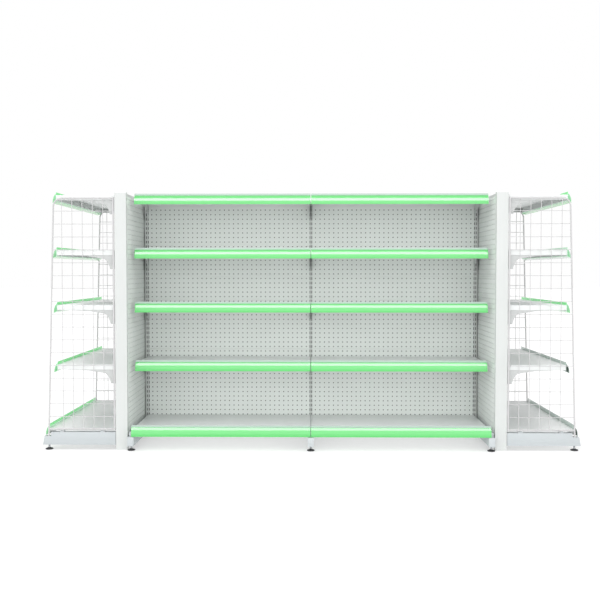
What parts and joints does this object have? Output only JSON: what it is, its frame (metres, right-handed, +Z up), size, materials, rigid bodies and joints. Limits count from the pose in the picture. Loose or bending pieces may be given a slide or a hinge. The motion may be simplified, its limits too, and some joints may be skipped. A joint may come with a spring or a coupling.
{
  "type": "gondola shelving run",
  "caption": "Double-sided supermarket gondola run with single-sided end units, perforated backs, lift-off shelves with price strips, wire mesh ends and levelling feet.",
  "frame": {"origin": "on the floor under the middle of the run", "axes": "+X along the run to its right end, -Y to the front, +Z up"},
  "size_m": [2.696, 1.004, 1.294],
  "materials": {
    "frame_white_steel": "satin powder coat",
    "shelf_white_steel": "satin powder coat",
    "panel_grey_steel": "satin powder coat",
    "mesh_white_wire": "powder coat",
    "cap_white_plastic": "moulded",
    "foot_black_plastic": "moulded",
    "price_strip_green": "glossy extruded",
    "price_holder_clear": "glossy extruded",
    "stud_zinc_steel": "zinc plated"
  },
  "bodies": {
    "frame": {"centre_legs": "frame_white_steel", "crossbars": "frame_white_steel", "end_legs": "frame_white_steel", "front_back_panels": "panel_grey_steel", "joining_plates": "frame_white_steel", "left_end_back_panels": "panel_grey_steel", "left_end_mesh_front": "mesh_white_wire", "left_end_mesh_rear": "mesh_white_wire", "left_end_upright_front": "frame_white_steel", "left_end_upright_rear": "frame_white_steel", "rear_back_panels": "panel_grey_steel", "right_end_back_panels": "panel_grey_steel", "right_end_mesh_front": "mesh_white_wire", "right_end_mesh_rear": "mesh_white_wire", "right_end_upright_front": "frame_white_steel", "right_end_upright_rear": "frame_white_steel", "upright_caps": "cap_white_plastic", "upright_left": "frame_white_steel", "upright_middle": "frame_white_steel", "upright_right": "frame_white_steel"},
    "front_left_base_shelf": {"front_left_base_shelf": "shelf_white_steel"},
    "front_left_lower_shelf": {"front_left_lower_shelf": "shelf_white_steel"},
    "front_left_middle_shelf": {"front_left_middle_shelf": "shelf_white_steel"},
    "front_left_upper_shelf": {"front_left_upper_shelf": "shelf_white_steel"},
    "front_left_top_shelf": {"front_left_top_shelf": "shelf_white_steel"},
    "front_right_base_shelf": {"front_right_base_shelf": "shelf_white_steel"},
    "front_right_lower_shelf": {"front_right_lower_shelf": "shelf_white_steel"},
    "front_right_middle_shelf": {"front_right_middle_shelf": "shelf_white_steel"},
    "front_right_upper_shelf": {"front_right_upper_shelf": "shelf_white_steel"},
    "front_right_top_shelf": {"front_right_top_shelf": "shelf_white_steel"},
    "rear_left_base_shelf": {"rear_left_base_shelf": "shelf_white_steel"},
    "rear_left_lower_shelf": {"rear_left_lower_shelf": "shelf_white_steel"},
    "rear_left_middle_shelf": {"rear_left_middle_shelf": "shelf_white_steel"},
    "rear_left_upper_shelf": {"rear_left_upper_shelf": "shelf_white_steel"},
    "rear_left_top_shelf": {"rear_left_top_shelf": "shelf_white_steel"},
    "rear_right_base_shelf": {"rear_right_base_shelf": "shelf_white_steel"},
    "rear_right_lower_shelf": {"rear_right_lower_shelf": "shelf_white_steel"},
    "rear_right_middle_shelf": {"rear_right_middle_shelf": "shelf_white_steel"},
    "rear_right_upper_shelf": {"rear_right_upper_shelf": "shelf_white_steel"},
    "rear_right_top_shelf": {"rear_right_top_shelf": "shelf_white_steel"},
    "left_end_base_shelf": {"left_end_base_shelf": "shelf_white_steel"},
    "left_end_lower_shelf": {"left_end_lower_shelf": "shelf_white_steel"},
    "left_end_middle_shelf": {"left_end_middle_shelf": "shelf_white_steel"},
    "left_end_upper_shelf": {"left_end_upper_shelf": "shelf_white_steel"},
    "left_end_top_shelf": {"left_end_top_shelf": "shelf_white_steel"},
    "right_end_base_shelf": {"right_end_base_shelf": "shelf_white_steel"},
    "right_end_lower_shelf": {"right_end_lower_shelf": "shelf_white_steel"},
    "right_end_middle_shelf": {"right_end_middle_shelf": "shelf_white_steel"},
    "right_end_upper_shelf": {"right_end_upper_shelf": "shelf_white_steel"},
    "right_end_top_shelf": {"right_end_top_shelf": "shelf_white_steel"},
    "foot_front_left": {"foot_front_left": "foot_black_plastic"},
    "foot_front_middle": {"foot_front_middle": "foot_black_plastic"},
    "foot_front_right": {"foot_front_right": "foot_black_plastic"},
    "foot_left_end_front": {"foot_left_end_front": "foot_black_plastic"},
    "foot_left_end_rear": {"foot_left_end_rear": "foot_black_plastic"},
    "foot_rear_left": {"foot_rear_left": "foot_black_plastic"},
    "foot_rear_middle": {"foot_rear_middle": "foot_black_plastic"},
    "foot_rear_right": {"foot_rear_right": "foot_black_plastic"},
    "foot_right_end_front": {"foot_right_end_front": "foot_black_plastic"},
    "foot_right_end_rear": {"foot_right_end_rear": "foot_black_plastic"}
  },
  "joints": [
    {"name": "front_left_base_shelf_lift", "type": "slide", "parent": "frame", "child": "front_left_base_shelf", "axis": [0, 0, 1], "range_m": [0, 0.03]},
    {"name": "front_left_lower_shelf_lift", "type": "slide", "parent": "frame", "child": "front_left_lower_shelf", "axis": [0, 0, 1], "range_m": [0, 0.0062]},
    {"name": "front_left_middle_shelf_lift", "type": "slide", "parent": "frame", "child": "front_left_middle_shelf", "axis": [0, 0, 1], "range_m": [0, 0.0062]},
    {"name": "front_left_upper_shelf_lift", "type": "slide", "parent": "frame", "child": "front_left_upper_shelf", "axis": [0, 0, 1], "range_m": [0, 0.0062]},
    {"name": "front_left_top_shelf_lift", "type": "slide", "parent": "frame", "child": "front_left_top_shelf", "axis": [0, 0, 1], "range_m": [0, 0.0062]},
    {"name": "front_right_base_shelf_lift", "type": "slide", "parent": "frame", "child": "front_right_base_shelf", "axis": [0, 0, 1], "range_m": [0, 0.03]},
    {"name": "front_right_lower_shelf_lift", "type": "slide", "parent": "frame", "child": "front_right_lower_shelf", "axis": [0, 0, 1], "range_m": [0, 0.0062]},
    {"name": "front_right_middle_shelf_lift", "type": "slide", "parent": "frame", "child": "front_right_middle_shelf", "axis": [0, 0, 1], "range_m": [0, 0.0062]},
    {"name": "front_right_upper_shelf_lift", "type": "slide", "parent": "frame", "child": "front_right_upper_shelf", "axis": [0, 0, 1], "range_m": [0, 0.0062]},
    {"name": "front_right_top_shelf_lift", "type": "slide", "parent": "frame", "child": "front_right_top_shelf", "axis": [0, 0, 1], "range_m": [0, 0.0062]},
    {"name": "rear_left_base_shelf_lift", "type": "slide", "parent": "frame", "child": "rear_left_base_shelf", "axis": [0, 0, 1], "range_m": [0, 0.03]},
    {"name": "rear_left_lower_shelf_lift", "type": "slide", "parent": "frame", "child": "rear_left_lower_shelf", "axis": [0, 0, 1], "range_m": [0, 0.0062]},
    {"name": "rear_left_middle_shelf_lift", "type": "slide", "parent": "frame", "child": "rear_left_middle_shelf", "axis": [0, 0, 1], "range_m": [0, 0.0062]},
    {"name": "rear_left_upper_shelf_lift", "type": "slide", "parent": "frame", "child": "rear_left_upper_shelf", "axis": [0, 0, 1], "range_m": [0, 0.0062]},
    {"name": "rear_left_top_shelf_lift", "type": "slide", "parent": "frame", "child": "rear_left_top_shelf", "axis": [0, 0, 1], "range_m": [0, 0.0062]},
    {"name": "rear_right_base_shelf_lift", "type": "slide", "parent": "frame", "child": "rear_right_base_shelf", "axis": [0, 0, 1], "range_m": [0, 0.03]},
    {"name": "rear_right_lower_shelf_lift", "type": "slide", "parent": "frame", "child": "rear_right_lower_shelf", "axis": [0, 0, 1], "range_m": [0, 0.0062]},
    {"name": "rear_right_middle_shelf_lift", "type": "slide", "parent": "frame", "child": "rear_right_middle_shelf", "axis": [0, 0, 1], "range_m": [0, 0.0062]},
    {"name": "rear_right_upper_shelf_lift", "type": "slide", "parent": "frame", "child": "rear_right_upper_shelf", "axis": [0, 0, 1], "range_m": [0, 0.0062]},
    {"name": "rear_right_top_shelf_lift", "type": "slide", "parent": "frame", "child": "rear_right_top_shelf", "axis": [0, 0, 1], "range_m": [0, 0.0062]},
    {"name": "left_end_base_shelf_lift", "type": "slide", "parent": "frame", "child": "left_end_base_shelf", "axis": [0, 0, 1], "range_m": [0, 0.03]},
    {"name": "left_end_lower_shelf_lift", "type": "slide", "parent": "frame", "child": "left_end_lower_shelf", "axis": [0, 0, 1], "range_m": [0, 0.0062]},
    {"name": "left_end_middle_shelf_lift", "type": "slide", "parent": "frame", "child": "left_end_middle_shelf", "axis": [0, 0, 1], "range_m": [0, 0.0062]},
    {"name": "left_end_upper_shelf_lift", "type": "slide", "parent": "frame", "child": "left_end_upper_shelf", "axis": [0, 0, 1], "range_m": [0, 0.0062]},
    {"name": "left_end_top_shelf_lift", "type": "slide", "parent": "frame", "child": "left_end_top_shelf", "axis": [0, 0, 1], "range_m": [0, 0.0062]},
    {"name": "right_end_base_shelf_lift", "type": "slide", "parent": "frame", "child": "right_end_base_shelf", "axis": [0, 0, 1], "range_m": [0, 0.03]},
    {"name": "right_end_lower_shelf_lift", "type": "slide", "parent": "frame", "child": "right_end_lower_shelf", "axis": [0, 0, 1], "range_m": [0, 0.0062]},
    {"name": "right_end_middle_shelf_lift", "type": "slide", "parent": "frame", "child": "right_end_middle_shelf", "axis": [0, 0, 1], "range_m": [0, 0.0062]},
    {"name": "right_end_upper_shelf_lift", "type": "slide", "parent": "frame", "child": "right_end_upper_shelf", "axis": [0, 0, 1], "range_m": [0, 0.0062]},
    {"name": "right_end_top_shelf_lift", "type": "slide", "parent": "frame", "child": "right_end_top_shelf", "axis": [0, 0, 1], "range_m": [0, 0.0062]},
    {"name": "foot_front_left_screw", "type": "slide", "parent": "frame", "child": "foot_front_left", "axis": [0, 0, -1], "range_m": [-0.008, 0.015]},
    {"name": "foot_front_middle_screw", "type": "slide", "parent": "frame", "child": "foot_front_middle", "axis": [0, 0, -1], "range_m": [-0.008, 0.015]},
    {"name": "foot_front_right_screw", "type": "slide", "parent": "frame", "child": "foot_front_right", "axis": [0, 0, -1], "range_m": [-0.008, 0.015]},
    {"name": "foot_left_end_front_screw", "type": "slide", "parent": "frame", "child": "foot_left_end_front", "axis": [0, 0, -1], "range_m": [-0.008, 0.015]},
    {"name": "foot_left_end_rear_screw", "type": "slide", "parent": "frame", "child": "foot_left_end_rear", "axis": [0, 0, -1], "range_m": [-0.008, 0.015]},
    {"name": "foot_rear_left_screw", "type": "slide", "parent": "frame", "child": "foot_rear_left", "axis": [0, 0, -1], "range_m": [-0.008, 0.015]},
    {"name": "foot_rear_middle_screw", "type": "slide", "parent": "frame", "child": "foot_rear_middle", "axis": [0, 0, -1], "range_m": [-0.008, 0.015]},
    {"name": "foot_rear_right_screw", "type": "slide", "parent": "frame", "child": "foot_rear_right", "axis": [0, 0, -1], "range_m": [-0.008, 0.015]},
    {"name": "foot_right_end_front_screw", "type": "slide", "parent": "frame", "child": "foot_right_end_front", "axis": [0, 0, -1], "range_m": [-0.008, 0.015]},
    {"name": "foot_right_end_rear_screw", "type": "slide", "parent": "frame", "child": "foot_right_end_rear", "axis": [0, 0, -1], "range_m": [-0.008, 0.015]}
  ]
}
